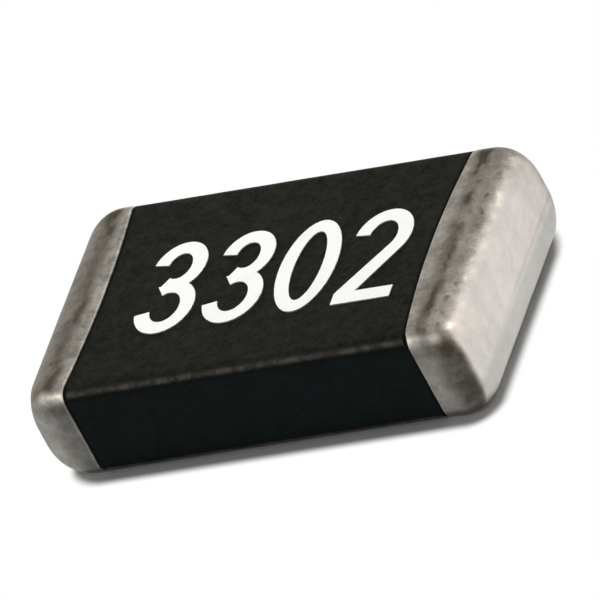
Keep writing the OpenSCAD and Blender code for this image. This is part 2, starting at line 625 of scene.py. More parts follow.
@dataclass(frozen=True)
class TinPlating(Finish):
    """Satin tin with a grey strip along the rim, a brown stained ring, flanks darker partly as painted shade,
    a pale end face with painted shade towards its back, and burnished edges with painted highlights.
    """

    sizes: ChipSizes
    side: Side
    end: PaleEnd
    ring: StainRing
    dirt: FlankDirt
    wear_and_highlights: BurnishAndPaintedHighlights
    haze_colour: Colour
    # The flanks are darker than the rest of the metal partly as painted shade.
    flank_and_shade_colour: Colour
    flank_end_and_shade_colour: Colour
    strip_colour: Colour = (0.33, 0.308, 0.266)
    end_colour: Colour = (0.73, 0.675, 0.63)
    end_grey: Colour = (0.66, 0.625, 0.585)
    foot_colour: Colour = (0.54, 0.53, 0.495)
    stain_colour: Colour = (0.074, 0.057, 0.039)
    soot_colour: Colour = (0.052, 0.042, 0.034)
    lip_colour: Colour = (0.52, 0.50, 0.455)
    burnish_and_highlight_colour: Colour = (0.92, 0.84, 0.72)
    flank_depth: Span = (0.012, 0.045)
    flank_fade: Span = (0.66, 0.79)
    grey_drift: Span = (0.42, 0.66)
    foot_height: Span = (-0.080, -0.030)
    back_stain: float = 0.35
    lip_width: Span = (0.003, 0.010)
    lip_on_flank: float = 0.6
    lip_strength: float = 0.4
    burnish_and_highlight_strength: float = 0.85
    blotch_shade: float = 0.34
    fleck_shade: float = 0.42
    speck_shade: float = 0.5
    mean_shade: float = 0.63
    end_calm: float = 0.8
    flank_calm: float = 0.35
    # A faint darker line low across the end face, towards its back.
    low_line_height: Span = (-0.040, 0.014)
    low_line_across: Span = (-0.15, 0.05)
    low_line_shade: float = 0.16
    # Painted shade on the end face towards its back, along its far back edge and at its top back corner.
    back_across: Span = (0.10, 0.42)
    painted_back_shade: float = 0.10
    far_depth: Span = (0.030, 0.075)
    painted_far_edge_shade: float = 0.25
    top_back_height: Span = (0.02, 0.14)
    painted_top_back_shade: float = 0.12
    rough: float = 0.40
    mottle_rough: float = 0.14
    worn_polish: float = 0.09
    mottle_bump: float = 0.6
    speck_bump: float = 0.4
    bump_depth: float = 0.0014

    def shader_inputs(self, tree: ShaderTree) -> Mapping[str, Any]:
        """Paints the plating.

        Args:
            tree: The material's tree.

        Returns:
            What goes into the sockets of a Principled shader.
        """
        cap = CapSurface(tree, self.sizes, self.side)
        flank = cap.from_side.falling(*self.flank_depth)
        end = self.end.mask(cap, flank)
        open_flank = flank * (1 - end)
        stained = self.ring.mask(cap) * (1 - flank) * (1 + self.back_stain * cap.back)
        stained = stained.most(self.dirt.line(cap) * open_flank)
        lip = cap.from_rim.falling(*self.lip_width) * (1 - self.lip_on_flank * flank)
        burnish_and_highlight = self.wear_and_highlights.mask(cap, self.ring.streak(cap))
        colour = self._ground(tree, cap, flank, end)
        colour = tree.mix(stained, colour, self.stain_colour)
        colour = tree.mix(self.dirt.soot(cap, self.ring) * open_flank, colour, self.soot_colour)
        colour = tree.mix(lip * self.lip_strength, colour, self.lip_colour)
        # Mixes in burnished wear and painted highlights in a cream colour.
        colour = tree.mix(burnish_and_highlight * self.burnish_and_highlight_strength, colour, self.burnish_and_highlight_colour)
        return {
            "Base Color": tree.shade(colour, self._shading(cap, flank, end)),
            "Metallic": 1.0,
            "Roughness": self.rough + self.mottle_rough * cap.mottle - self.worn_polish * burnish_and_highlight,
            "Normal": tree.bump(self.mottle_bump * cap.mottle + self.speck_bump * cap.speck, self.bump_depth),
        }

    def _ground(self, tree: ShaderTree, cap: CapSurface, flank: Value, end: Value) -> Value:
        """Paints the clean metal.

        Args:
            tree: The material's tree.
            cap: The cap's surface.
            flank: 1 on the flanks, 0 off them.
            end: 1 where the end face is pale.

        Returns:
            The colour under stain, soot and wear.
        """
        colour = tree.mix(self.ring.beyond(cap), self.strip_colour, self.haze_colour)
        # The flanks' colour, darker partly as painted shade, changing towards the end.
        flank_and_shade = tree.mix(cap.reach.rising(*self.flank_fade), self.flank_and_shade_colour, self.flank_end_and_shade_colour)
        colour = tree.mix(flank, colour, flank_and_shade)
        pale = tree.mix(cap.drift.rising(*self.grey_drift), self.end_colour, self.end_grey)
        colour = tree.mix(end, colour, pale)
        return tree.mix(end * cap.up.falling(*self.foot_height), colour, self.foot_colour)

    def _shading(self, cap: CapSurface, flank: Value, end: Value) -> Value:
        """Lightens and darkens the metal unevenly, and paints shade on the pale end face towards its back,
        along its far back edge and at its top back corner.

        Args:
            cap: The cap's surface.
            flank: 1 on the flanks, 0 off them.
            end: 1 where the end face is pale.

        Returns:
            A factor for the colour, about 1.
        """
        uneven = self.blotch_shade * cap.blotch + self.fleck_shade * cap.fleck
        uneven = uneven + self.speck_shade * cap.speck - self.mean_shade
        uneven = uneven * (1 - self.end_calm * end) * (1 - self.flank_calm * flank)
        dark = self.low_line_shade * cap.up.near(*self.low_line_height) * cap.across.rising(*self.low_line_across)
        # Painted shade towards the back, along the far back edge and at the top back corner.
        dark = dark + self.painted_back_shade * cap.across.rising(*self.back_across)
        dark = dark + self.painted_far_edge_shade * cap.from_back.falling(*self.far_depth)
        dark = dark + self.painted_top_back_shade * cap.back * cap.up.rising(*self.top_back_height)
        return 1 + uneven - dark * end


@dataclass(frozen=True)
class BlackResin(Finish):
    """Satin black resin: warm on the top and underside, bluish and darker on the long sides partly as painted
    shade, rubbed with painted highlights on its edges and with painted shade under them.

    Depths below the top and in from the sides are counted in edge radii.
    """

    sizes: ChipSizes
    edge_radius: float
    top: Colour = (0.0084, 0.0090, 0.0058)
    # The long sides are bluish and darker than the top partly as painted shade.
    side: Colour = (0.0011, 0.0040, 0.0039)
    rub_and_highlight_colour: Colour = (0.12, 0.117, 0.107)
    shadow: Colour = (0.0012, 0.0012, 0.0010)
    side_depth: Span = (0.55, 0.85)
    # Painted shade in a band just under the rub line on each rounded edge.
    shade_band_peak: Span = (0.85, 0.45)
    shade_band_strength: float = 0.4
    rub_and_highlight_inward: Span = (0.22, 0.7)
    line_peak: Span = (0.42, 0.30)
    line_base: float = 0.26
    beads: Span = (0.38, 0.66)
    bead_strength: float = 0.55
    scratches: Span = (0.42, 0.68)
    scratch_strength: float = 0.3
    halo_peak: Span = (0.3, 0.6)
    halo_strength: float = 0.12
    groove: Span = (0.0105, 0.014)
    cloud_shade: float = 1.3
    blotch_shade: float = 2.0
    grain_shade: float = 3.6
    mean_shade: float = 2.45
    rough: float = 0.5
    grain_rough: float = 0.2
    specular: float = 0.06
    grain_bump: float = 0.7
    speck_bump: float = 0.3
    bump_depth: float = 0.0015

    def shader_inputs(self, tree: ShaderTree) -> Mapping[str, Any]:
        """Paints the resin.

        Args:
            tree: The material's tree.

        Returns:
            What goes into the sockets of a Principled shader.
        """
        place = tree.place()
        along, across, up = tree.axes(place)
        grain = tree.grain(place, scale=55.0, detail=3.0, roughness=0.65)
        blotch = tree.grain(place, scale=22.0, detail=2.0)
        cloud = tree.grain(place, scale=6.0, detail=3.0)
        speck = tree.grain(tree.stretch(place, (0.6, 1.0, 1.0)), scale=120.0, detail=2.0, roughness=0.6)
        depth = (self.sizes.coat_thickness / 2 - abs(up)) / self.edge_radius
        inward = (self.sizes.coat_width / 2 - abs(across)) / self.edge_radius
        beaded = self.line_base + self.bead_strength * blotch.rising(*self.beads)
        beaded = beaded + self.scratch_strength * speck.rising(*self.scratches)
        # The rub line is partly worn resin and partly a painted highlight, and the halo above it is a painted
        # sheen.
        rub_and_highlight = depth.near(*self.line_peak) * beaded + self.halo_strength * depth.near(*self.halo_peak)
        shading = self.cloud_shade * cloud + self.blotch_shade * blotch + self.grain_shade * grain
        # Takes away the painted shade band under the rub line.
        shading = shading - self.mean_shade - self.shade_band_strength * depth.near(*self.shade_band_peak)
        # Top colour, and the long sides' colour that is darker partly as painted shade.
        colour = tree.mix(depth.rising(*self.side_depth), self.top, self.side)
        colour = tree.shade(colour, shading)
        # Mixes in the rub and painted highlight.
        colour = tree.mix(inward.near(*self.rub_and_highlight_inward) * rub_and_highlight, colour, self.rub_and_highlight_colour)
        colour = tree.mix(self._grooves(along, across), colour, self.shadow)
        return {
            "Base Color": colour,
            "Roughness": self.rough + self.grain_rough * grain,
            "Specular IOR Level": self.specular,
            "Normal": tree.bump(self.grain_bump * grain + self.speck_bump * speck, self.bump_depth),
        }

    def _grooves(self, along: Value, across: Value) -> Value:
        """The dark lines where the coat meets the terminals.

        Args:
            along: Place along the chip.
            across: Place across it.

        Returns:
            1 in the lines, 0 off them.
        """
        rim, bow = self.sizes.rim, self.sizes.bow
        bowed = (across * (2 / self.sizes.width)) ** 2.0
        right = rim[Side.RIGHT] + bow[Side.RIGHT] * bowed - along
        left = rim[Side.LEFT] + bow[Side.LEFT] * bowed + along
        return right.least(left).falling(*self.groove)


@dataclass(frozen=True)
class WhiteInk(Finish):
    """Matte white ink with a faint cloud in it."""

    ink: Colour = (0.97, 0.97, 0.945)
    thin: Colour = (0.90, 0.90, 0.87)
    thin_places: Span = (0.5, 0.8)
    rough: float = 0.55
    grain_rough: float = 0.2
    specular: float = 0.2
    bump_depth: float = 0.0015

    def shader_inputs(self, tree: ShaderTree) -> Mapping[str, Any]:
        """Paints the ink.

        Args:
            tree: The material's tree.

        Returns:
            What goes into the sockets of a Principled shader.
        """
        place = tree.place()
        cloud = tree.grain(place, scale=9.0, detail=3.0)
        grain = tree.grain(place, scale=80.0, detail=2.0)
        return {
            "Base Color": tree.mix(cloud.rising(*self.thin_places), self.ink, self.thin),
            "Roughness": self.rough + self.grain_rough * grain,
            "Specular IOR Level": self.specular,
            "Normal": tree.bump(grain, self.bump_depth),
        }


@dataclass(frozen=True)
class FiredLayer(Finish):
    """A printed, fired or plated layer inside the chip, with its own grain."""

    light: Colour
    dark: Colour
    spots: float
    metallic: float = 0.0
    rough: float = 0.5
    bump_depth: float = 0.002
    fine_spots: float = 5.0
    light_places: Span = (0.32, 0.68)
    grain_rough: float = 0.2

    def shader_inputs(self, tree: ShaderTree) -> Mapping[str, Any]:
        """Paints the layer.

        Args:
            tree: The material's tree.

        Returns:
            What goes into the sockets of a Principled shader.
        """
        place = tree.place()
        coarse = tree.grain(place, self.spots, detail=4.0, roughness=0.6)
        fine = tree.grain(place, self.spots * self.fine_spots, detail=2.0)
        return {
            "Base Color": tree.mix(coarse.rising(*self.light_places), self.dark, self.light),
            "Metallic": self.metallic,
            "Roughness": self.rough + self.grain_rough * (fine - NOISE_MEAN),
            "Normal": tree.bump((coarse + fine) / 2, self.bump_depth),
        }


class Workpiece:
    """A mesh in millimetres on its way to becoming a piece of the object."""

    CUT_DISTANCE = 1e-5
    END_FACING = 0.9
    STEEP = 0.7

    def __init__(self, mesh: bmesh.types.BMesh | None = None) -> None:
        """Starts with a mesh that is given, or with an empty one."""
        self.mesh = mesh or bmesh.new()

    def block(self, size: Triple) -> None:
        """Adds a block of that size round the origin."""
        bmesh.ops.create_cube(self.mesh, size=1.0)
        bmesh.ops.scale(self.mesh, vec=size, verts=self.mesh.verts)

    def round_edges(self, edges: list[bmesh.types.BMEdge], radius: float, segments: int) -> None:
        """Rounds edges.

        Args:
            edges: The edges.
            radius: Their radius.
            segments: How many faces make the round.
        """
        bmesh.ops.bevel(
            self.mesh, geom=edges, offset=radius, offset_type="OFFSET", segments=segments,
            profile=0.5, affect="EDGES", clamp_overlap=False, material=-1,
        )

    def cut(self, axis: Axis, place: float) -> None:
        """Cuts the mesh across an axis and keeps both parts.

        Args:
            axis: The axis.
            place: Where on it.
        """
        point, normal = Vector((0, 0, 0)), Vector((0, 0, 0))
        point[axis.value] = place
        normal[axis.value] = 1.0
        geometry = [*self.mesh.verts, *self.mesh.edges, *self.mesh.faces]
        bmesh.ops.bisect_plane(
            self.mesh, geom=geometry, dist=self.CUT_DISTANCE, plane_co=point, plane_no=normal,
        )

    def grid(self, axis: Axis, low: float, high: float, step: float) -> None:
        """Cuts the mesh evenly between two places.

        Args:
            axis: The axis.
            low: First cut.
            high: Last cut.
            step: Greatest distance between cuts.
        """
        count = math.ceil((high - low) / step)
        for i in range(count + 1):
            self.cut(axis, low + (high - low) * i / count)

    def ripple(self, height: float, spread: float, seed: float) -> None:
        """Makes the surface slightly uneven, inwards of its true place.

        Args:
            height: How far it sinks at most.
            spread: Size of a ripple.
            seed: Shifts the pattern.
        """
        self.mesh.normal_update()
        shift = Vector((seed, seed, seed))
        for vertex in self.mesh.verts:
            sink = height * (1 - noise.noise(vertex.co / spread + shift)) / 2
            vertex.co -= vertex.normal * sink

    def thicken(self, wall: float) -> None:
        """Gives an open skin a wall on its inside.

        Args:
            wall: How thick the wall is.
        """
        bmesh.ops.recalc_face_normals(self.mesh, faces=self.mesh.faces)
        bmesh.ops.solidify(self.mesh, geom=self.mesh.faces[:], thickness=wall)
        self.mesh.normal_update()

    def open_ends(self) -> None:
        """Takes away the faces that face along the chip."""
        self.mesh.normal_update()
        ends = [f for f in self.mesh.faces if abs(f.normal.x) > self.END_FACING]
        bmesh.ops.delete(self.mesh, geom=ends, context="FACES_ONLY")

    def outer_rims(self, reach: float) -> list[bmesh.types.BMEdge]:
        """The outer edges of the end walls that face along the chip.

        Args:
            reach: How far from the middle of the chip such an edge lies at most.

        Returns:
            The edges.
        """
        found = []
        for edge in self.mesh.edges:
            if len(edge.link_faces) != 2 or abs(edge.verts[0].co.x) > reach:
                continue
            steep = [abs(face.normal.x) > self.STEEP for face in edge.link_faces]
            if steep[0] == steep[1]:
                continue
            skin = edge.link_faces[0] if steep[1] else edge.link_faces[1]
            middle = skin.calc_center_median()
            if skin.normal.y * middle.y + skin.normal.z * middle.z > 0:
                found.append(edge)
        return found

    def finish(self, name: str, finish: Finish, slot: str, nodes: Iterable[str] = ()) -> bpy.types.Object:
        """Turns the mesh into a piece in metres and dresses it.

        Args:
            name: The piece's name.
            finish: What it is dressed in.
            slot: The record's material slot; it is not used.
            nodes: The nodes that it stands for.

        Returns:
            The piece.
        """
        bmesh.ops.scale(self.mesh, vec=(MILLIMETRE, MILLIMETRE, MILLIMETRE), verts=self.mesh.verts)
        data = bpy.data.meshes.new(name)
        self.mesh.to_mesh(data)
        self.mesh.free()
        data.polygons.foreach_set("use_smooth", [True] * len(data.polygons))
        data.materials.append(finish.material(f"{name}_finish"))
        piece = bpy.data.objects.new(name, data)
        bpy.context.scene.collection.objects.link(piece)
        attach(piece, BODY)
        if nodes:
            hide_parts(*nodes)
        log.info("%s: %d faces", name, len(data.polygons))
        return piece


@dataclass(frozen=True)
class Section:
    """A cross-section of a terminal: a rectangle with round corners, at a distance from the chip's middle."""

    reach: float
    half_width: float
    half_height: float
    radius: float

    def inset(self, depth: float) -> "Section":
        """Shrinks the section evenly.

        Args:
            depth: How far inside this section the new one lies.

        Returns:
            The smaller section, at the same distance from the chip's middle.
        """
        return replace(
            self,
            half_width=self.half_width - depth,
            half_height=self.half_height - depth,
            radius=self.radius - depth,
        )

    def carry(self, vertex: bmesh.types.BMVert, sign: int, following: "Section") -> None:
        """Moves a point of this section to the same point of another one.

        Args:
            vertex: The point.
            sign: The end of the chip, as a sign along X.
            following: The section that it moves to.
        """
        vertex.co.x = sign * following.reach
        halves = (
            (Axis.ACROSS, self.half_width, following.half_width),
            (Axis.UP, self.half_height, following.half_height),
        )
        for axis, half, next_half in halves:
            flat, next_flat = half - self.radius, next_half - following.radius
            size = abs(vertex.co[axis.value])
            if size > flat:
                moved = next_flat + (size - flat) * following.radius / self.radius
            else:
                moved = size * next_flat / flat
            vertex.co[axis.value] = math.copysign(moved, vertex.co[axis.value])


@dataclass
class Terminal:
    """A dipped and plated terminal: a cap over the end of the chip with a bowed rim."""

    sizes: ChipSizes
    side: Side
    edge_radius: float = 0.055
    end_reach: float = 0.12
    side_draw: float = 0.038
    top_draw: float = 0.06
    end_radius: float = 0.12
    wall: float = 0.016
    lip_radius: float = 0.006
    lip_segments: int = 3
    corner_segments: int = 10
    end_segments: int = 12
    band_rings: int = 4
    face_rings: int = 6
    face_flat: float = 0.004
    grid_step: float = 0.025
    ripple_height: float = 0.002
    ripple_spread: float = 0.11
    ripple_seed: float = 3.0

    @property
    def name(self) -> str:
        """The piece's name."""
        return f"{self.side.word}_terminal"

    @property
    def shoulder(self) -> float:
        """Distance from the chip's middle at which the cap starts to round over."""
        return self.sizes.length / 2 - self.end_reach

    def build(self, finish: Finish) -> bpy.types.Object:
        """Models the cap and dresses it.

        Args:
            finish: The plating.

        Returns:
            The piece.
        """
        work = Workpiece()
        self._form_sleeve(work)
        self._round_end(work)
        self._bow_rim(work)
        work.ripple(self.ripple_height, self.ripple_spread, self.ripple_seed * self.side.value)
        work.thicken(self.wall)
        work.round_edges(work.outer_rims(self.shoulder), self.lip_radius, self.lip_segments)
        return work.finish(self.name, finish, "tin", [f"{self.side.word}_tin_cap"])

    def _section(self, turn: float) -> Section:
        """The section part of the way round into the end face.

        Args:
            turn: The angle of the rounding, from 0 at its start to a quarter turn at the end face.

        Returns:
            The section there.
        """
        draw = 1 - math.cos(turn)
        return Section(
            reach=self.shoulder + self.end_reach * math.sin(turn),
            half_width=self.sizes.width / 2 - self.side_draw * draw,
            half_height=self.sizes.thickness / 2 - self.top_draw * draw,
            radius=self.edge_radius + (self.end_radius - self.edge_radius) * draw,
        )

    def _sections(self) -> list[Section]:
        """Lists the sections from the shoulder round into the end face, and on towards its middle.

        Returns:
            The sections in that order.
        """
        turns = [math.pi / 2 * i / self.end_segments for i in range(self.end_segments + 1)]
        sections = [self._section(turn) for turn in turns]
        depth = self.end_radius - self.face_flat
        rings = [depth * i / self.face_rings for i in range(1, self.face_rings + 1)]
        return sections + [sections[-1].inset(ring) for ring in rings]

    def _form_sleeve(self, work: Workpiece) -> None:
        """Makes the straight part: a bar with round long edges, open at both ends and gridded.

        Args:
            work: The cap's mesh.
        """
        sign, rim = self.side.value, self.sizes.rim[self.side]
        length = self.shoulder - rim
        work.block((length, self.sizes.width, self.sizes.thickness))
        long_edges = [e for e in work.mesh.edges if abs(e.verts[0].co.x - e.verts[1].co.x) > length / 2]
        work.round_edges(long_edges, self.edge_radius, self.corner_segments)
        work.open_ends()
        bmesh.ops.translate(work.mesh, vec=(sign * (rim + length / 2), 0, 0), verts=work.mesh.verts)
        low, high = sorted((sign * rim, sign * self.shoulder))
        step = length / self.band_rings
        flat_width = self.sizes.width / 2 - self.edge_radius
        flat_height = self.sizes.thickness / 2 - self.edge_radius
        work.grid(Axis.ALONG, low + step, high - step, step)
        work.grid(Axis.ACROSS, -flat_width, flat_width, self.grid_step)
        work.grid(Axis.UP, -flat_height, flat_height, self.grid_step)

    def _round_end(self, work: Workpiece) -> None:
        """Extrudes the open end section by section round into the end face, and closes it.

        Args:
            work: The cap's mesh.
        """
        sign = self.side.value
        near_end = self.shoulder - self.lip_radius
        boundary = [e for e in work.mesh.edges if e.is_boundary]
        loop = [e for e in boundary if all(sign * v.co.x > near_end for v in e.verts)]
        section, *rest = self._sections()
        for following in rest:
            grown = bmesh.ops.extrude_edge_only(work.mesh, edges=loop)["geom"]
            points = {g for g in grown if isinstance(g, bmesh.types.BMVert)}
            loop = [g for g in grown if isinstance(g, bmesh.types.BMEdge) and points.issuperset(g.verts)]
            for vertex in points:
                section.carry(vertex, sign, following)
            section = following
        bmesh.ops.edgeloop_fill(work.mesh, edges=loop)

    def _bow_rim(self, work: Workpiece) -> None:
        """Bows the rim, and the straight part with it, towards the middle of the chip.

        Args:
            work: The cap's mesh.
        """
        sign, rim = self.side.value, self.sizes.rim[self.side]
        for vertex in work.mesh.verts:
            reach = sign * vertex.co.x
            if reach < self.shoulder:
                share = (self.shoulder - reach) / (self.shoulder - rim)
                bowed = self.sizes.rim_place(self.side, vertex.co.y)
                vertex.co.x = sign * (self.shoulder - share * (self.shoulder - bowed))


@dataclass
class CoatedBody:
    """The black coat round the long sides, from one terminal's rim to the other's."""

    sizes: ChipSizes
    edge_radius: float = 0.04
    end_radius: float = 0.005
    end_segments: int = 3
    segments: int = 8
    grid_step: float = 0.022
    first_wall: float = 0.012
    skin_share: float = 0.6
    ripple_height: float = 0.0011
    ripple_spread: float = 0.07
    ripple_seed: float = 11.0
    weld_distance: float = 1e-5

    def build(self, finish: Finish) -> bpy.types.Object:
        """Models the sleeve and dresses it.

        Args:
            finish: The resin.

        Returns:
            The piece.
        """
        work = Workpiece()
        self._form_sleeve(work)
        self._fit_between_rims(work)
        work.ripple(self.ripple_height, self.ripple_spread, self.ripple_seed)
        work.thicken(self.first_wall)
        self._fit_to_core(work)
        work.round_edges(work.outer_rims(self.sizes.length / 2), self.end_radius, self.end_segments)
        return work.finish("coated_body", finish, "black_coat", ["black_coat"])

    def _form_sleeve(self, work: Workpiece) -> None:
        """Rounds a bar's long edges, opens its ends and grids its faces.

        Args:
            work: The coat's mesh.
        """
        sizes = self.sizes
        work.block((sizes.length, sizes.coat_width, sizes.coat_thickness))
        long_edges = [e for e in work.mesh.edges if abs(e.verts[0].co.x - e.verts[1].co.x) > self.grid_step]
        work.round_edges(long_edges, self.edge_radius, self.segments)
        work.open_ends()
        last_cut = sizes.length / 2 - self.grid_step
        flat_width = sizes.coat_width / 2 - self.edge_radius
        flat_height = sizes.coat_thickness / 2 - self.edge_radius
        work.grid(Axis.ALONG, -last_cut, last_cut, self.grid_step)
        work.grid(Axis.ACROSS, -flat_width, flat_width, self.grid_step)
        work.grid(Axis.UP, -flat_height, flat_height, self.grid_step)

    def _fit_between_rims(self, work: Workpiece) -> None:
        """Shortens the sleeve so that both ends follow the terminals' rims.

        Args:
            work: The coat's mesh.
        """
        for vertex in work.mesh.verts:
            share = vertex.co.x / self.sizes.length + 0.5
            low = -self.sizes.rim_place(Side.LEFT, vertex.co.y)
            high = self.sizes.rim_place(Side.RIGHT, vertex.co.y)
            vertex.co.x = low + share * (high - low)

    def _fit_to_core(self, work: Workpiece) -> None:
        """Moves the inner skin onto the core that the coat covers.

        Args:
            work: The coat's mesh.
        """
        half_width = self.sizes.core_width / 2
        inset = self.skin_share * self.first_wall + self.edge_radius
        corner = Vector((self.sizes.coat_width / 2 - inset, self.sizes.coat_thickness / 2 - inset))
        for vertex in work.mesh.verts:
            out = Vector((abs(vertex.co.y), abs(vertex.co.z))) - corner
            inside = max(out.x, out.y) < self.edge_radius if min(out) < 0 else out.length < self.edge_radius
            if inside:
                vertex.co.y = min(max(vertex.co.y, -half_width), half_width)
                vertex.co.z = min(max(vertex.co.z, self.sizes.core_bottom), self.sizes.core_top)
        bmesh.ops.remove_doubles(work.mesh, verts=work.mesh.verts, dist=self.weld_distance)
        work.mesh.normal_update()


@dataclass
class Numerals:
    """Plain upright numerals of one stroke width, drawn flat round the origin."""

    width: float = 0.215
    height: float = 0.44
    stroke: float = 0.054
    waist: float = 0.012
    upper_half_width: float = 0.098
    upper_rise: float = 0.232
    lower_rise: float = 0.25
    bowl_start: float = 170.0
    bowl_sweep: float = 290.0
    arch_half_width: float = 0.106
    arch_rise: float = 0.25
    arch_start: float = 172.0
    arch_sweep: float = 212.0
    slant_strokes: float = 1.4
    hollow: float = 0.5
    cut_distance: float = 1e-6
    segments: int = 40
    sheet: bmesh.types.BMesh = field(default_factory=bmesh.new)

    def draw(self, digit: str, place: Vector) -> None:
        """Adds one digit.

        Args:
            digit: The digit.
            place: The middle of the digit.
        """
        drawers = {"0": self._nought, "2": self._two, "3": self._three}
        before = set(self.sheet.verts)
        drawers[digit]()
        drawn = [v for v in self.sheet.verts if v not in before]
        bmesh.ops.translate(self.sheet, vec=place, verts=drawn)

    def _arc(self, centre: Pair, half: Pair, start: float, sweep: float) -> list[bmesh.types.BMEdge]:
        """Spins a stroke round part of an oval.

        Args:
            centre: The oval's middle.
            half: Half of its outer width and height.
            start: The angle where the stroke starts, in degrees.
            sweep: How far it goes, in degrees.

        Returns:
            The edges across the stroke's two ends, or across its one seam where it goes all the way round.
        """
        turn = math.radians(start)
        ray = Vector((math.cos(turn), math.sin(turn), 0.0))
        outer, inner = self.sheet.verts.new(ray), self.sheet.verts.new(ray * self.hollow)
        nib = self.sheet.edges.new((outer, inner))
        full = abs(sweep) >= FULL_TURN
        before = set(self.sheet.verts) - {outer, inner}
        swept = bmesh.ops.spin(
            self.sheet, geom=[outer, inner, nib], cent=(0, 0, 0), axis=(0, 0, 1),
            angle=math.radians(sweep), steps=self.segments, use_merge=full,
        )
        points = [v for v in self.sheet.verts if v not in before]
        between = (1 + self.hollow) / 2
        rims = [v for v in points if v.co.length > between]
        hollows = [v for v in points if v.co.length <= between]
        inside = [(size - self.stroke) / self.hollow for size in half]
        bmesh.ops.scale(self.sheet, vec=(*half, 1.0), verts=rims)
        bmesh.ops.scale(self.sheet, vec=(*inside, 1.0), verts=hollows)
        bmesh.ops.translate(self.sheet, vec=(*centre, 0.0), verts=points)
        last = [] if full else [g for g in swept["geom_last"] if isinstance(g, bmesh.types.BMEdge)]
        return [nib, *last]

    def _keep(self, points: list[bmesh.types.BMVert], place: float, above: bool) -> None:
        """Cuts points' faces level across and keeps one part.

        Args:
            points: The points.
            place: The height of the cut.
            above: Whether the upper part stays.
        """
        faces = {f for v in points for f in v.link_faces}
        edges = {e for f in faces for e in f.edges}
        bmesh.ops.bisect_plane(
            self.sheet, geom=[*points, *edges, *faces], dist=self.cut_distance,
            plane_co=(0, place, 0), plane_no=(0, 1, 0), clear_inner=above, clear_outer=not above,
        )

    def _nought(self) -> None:
        """An oval ring."""
        self._arc((0.0, 0.0), (self.width / 2, self.height / 2), FULL_TURN / 4, FULL_TURN)

    def _three(self) -> None:
        """Two bowls that meet at the waist."""
        bowls = ((1, self.upper_half_width, self.upper_rise), (-1, self.width / 2, self.lower_rise))
        for sign, half_width, rise in bowls:
            before = set(self.sheet.verts)
            centre = (0.0, sign * (self.height - rise) / 2)
            self._arc(centre, (half_width, rise / 2), sign * self.bowl_start, -sign * self.bowl_sweep)
            drawn = [v for v in self.sheet.verts if v not in before]
            self._keep(drawn, self.waist, above=sign > 0)

    def _two(self) -> None:
        """An arch that runs down a slanting stroke into a foot."""
        half = (self.arch_half_width, self.arch_rise / 2)
        centre = (0.0, (self.height - self.arch_rise) / 2)
        *_, last = self._arc(centre, half, self.arch_start, -self.arch_sweep)
        foot = -self.height / 2 + self.stroke
        slant = bmesh.ops.extrude_edge_only(self.sheet, edges=[last])
        ends = [g for g in slant["geom"] if isinstance(g, bmesh.types.BMVert)]
        ends.sort(key=lambda v: v.co.x)
        for vertex, along in zip(ends, (0.0, self.slant_strokes * self.stroke)):
            vertex.co = Vector((along - self.width / 2, foot, 0.0))
        bar = bmesh.ops.create_grid(self.sheet, x_segments=1, y_segments=1, size=0.5)["verts"]
        bmesh.ops.scale(self.sheet, vec=(self.width, self.stroke, 1.0), verts=bar)
        bmesh.ops.translate(self.sheet, vec=(0.0, foot - self.stroke / 2, 0.0), verts=bar)


@dataclass
class Marking:
    """The value code printed on the top in white ink."""

    sizes: ChipSizes
    code: str = "3302"
    pitch: float = 0.25
    centre_along: float = 0.016
    centre_across: float = -0.015
    ink_thickness: float = 0.004
    sink: float = 0.002

    def build(self, finish: Finish) -> bpy.types.Object:
        """Prints the digits and dresses them.

        Args:
            finish: The ink.

        Returns:
            The piece.
        """
        numerals = Numerals()
        for i, digit in enumerate(self.code):
            along = self.centre_along + (i - (len(self.code) - 1) / 2) * self.pitch
            numerals.draw(digit, Vector((along, self.centre_across, 0.0)))
        work = Workpiece(numerals.sheet)
        bmesh.ops.recalc_face_normals(work.mesh, faces=work.mesh.faces)
        printed = bmesh.ops.extrude_face_region(work.mesh, geom=work.mesh.faces[:])
        lifted = [g for g in printed["geom"] if isinstance(g, bmesh.types.BMVert)]
        bmesh.ops.translate(work.mesh, vec=(0, 0, self.ink_thickness + self.sink), verts=lifted)
        foot = self.sizes.coat_thickness / 2 - self.sink
        bmesh.ops.translate(work.mesh, vec=(0, 0, foot), verts=work.mesh.verts)
        bmesh.ops.recalc_face_normals(work.mesh, faces=work.mesh.faces)
        piece = work.finish("marking", finish, "marking_ink")
        piece.data.polygons.foreach_set("use_smooth", [False] * len(piece.data.polygons))
        return piece


